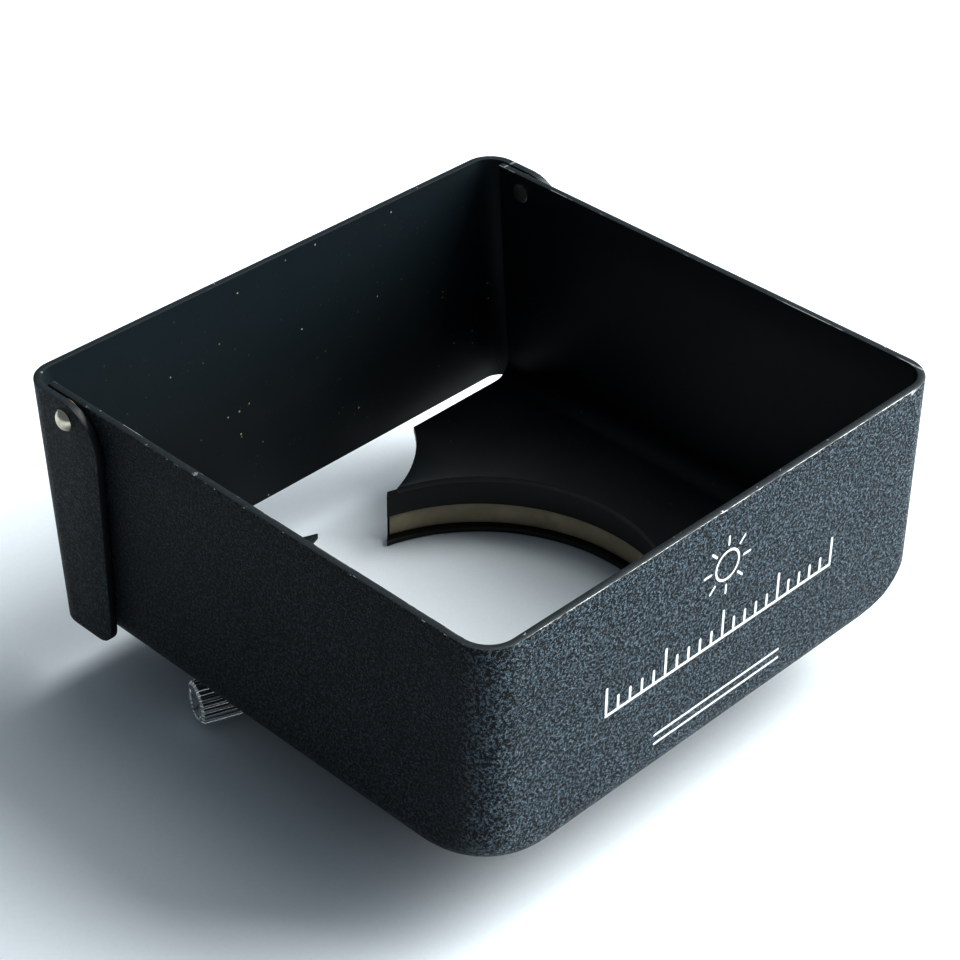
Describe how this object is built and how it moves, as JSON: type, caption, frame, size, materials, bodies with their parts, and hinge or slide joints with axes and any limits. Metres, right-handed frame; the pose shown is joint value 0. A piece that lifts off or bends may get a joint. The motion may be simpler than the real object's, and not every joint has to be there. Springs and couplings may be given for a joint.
{
  "type": "lens hood",
  "caption": "Square clamp-on lens hood of pressed sheet metal with a swing-out riveted flap, a lined open clamp ring and a knurled thumbscrew.",
  "frame": {"origin": "on the clamp ring's axis, at the ring's foot, which the hood stands on", "axes": "+Z along the ring's axis towards the open front rim, +Y towards the hinged flap, +X across the hood"},
  "size_m": [0.0822, 0.0772, 0.0425],
  "materials": {
    "crinkle_enamel": "satin",
    "black_enamel": "satin",
    "ring_black": "gloss",
    "lining_felt": "matte",
    "nickel": "polished",
    "brass": "satin",
    "chrome": "polished"
  },
  "bodies": {
    "hood": {"hood_shell": "crinkle_enamel", "pivot_rivets": "nickel", "friction_washers": "brass", "clamp_ring": "ring_black", "ring_lining": "lining_felt", "thread_bush": "brass"},
    "flap": {"hinged_flap": "black_enamel"},
    "shoe": {"pressure_shoe": "brass", "shoe_pad": "lining_felt"},
    "screw": {"thumbscrew": "chrome"}
  },
  "joints": [
    {"name": "flap_hinge", "type": "hinge", "parent": "hood", "child": "flap", "pos_m": [0, 0.0305, 0.0399], "axis": [1, 0, 0], "range_deg": [0, 125]},
    {"name": "shoe_slide", "type": "slide", "parent": "hood", "child": "shoe", "axis": [0.9348, -0.3551, 0], "range_m": [-0.0003, 0.001]},
    {"name": "thumbscrew_turn", "type": "hinge", "parent": "shoe", "child": "screw", "pos_m": [-0.03319, 0.01261, 0.00385], "axis": [0.9348, -0.3551, 0], "range_deg": [-216.5, 720.5]}
  ],
  "couplings": [
    {"joint": "thumbscrew_turn", "follows": "shoe_slide", "rad_per_m": 12566}
  ]
}
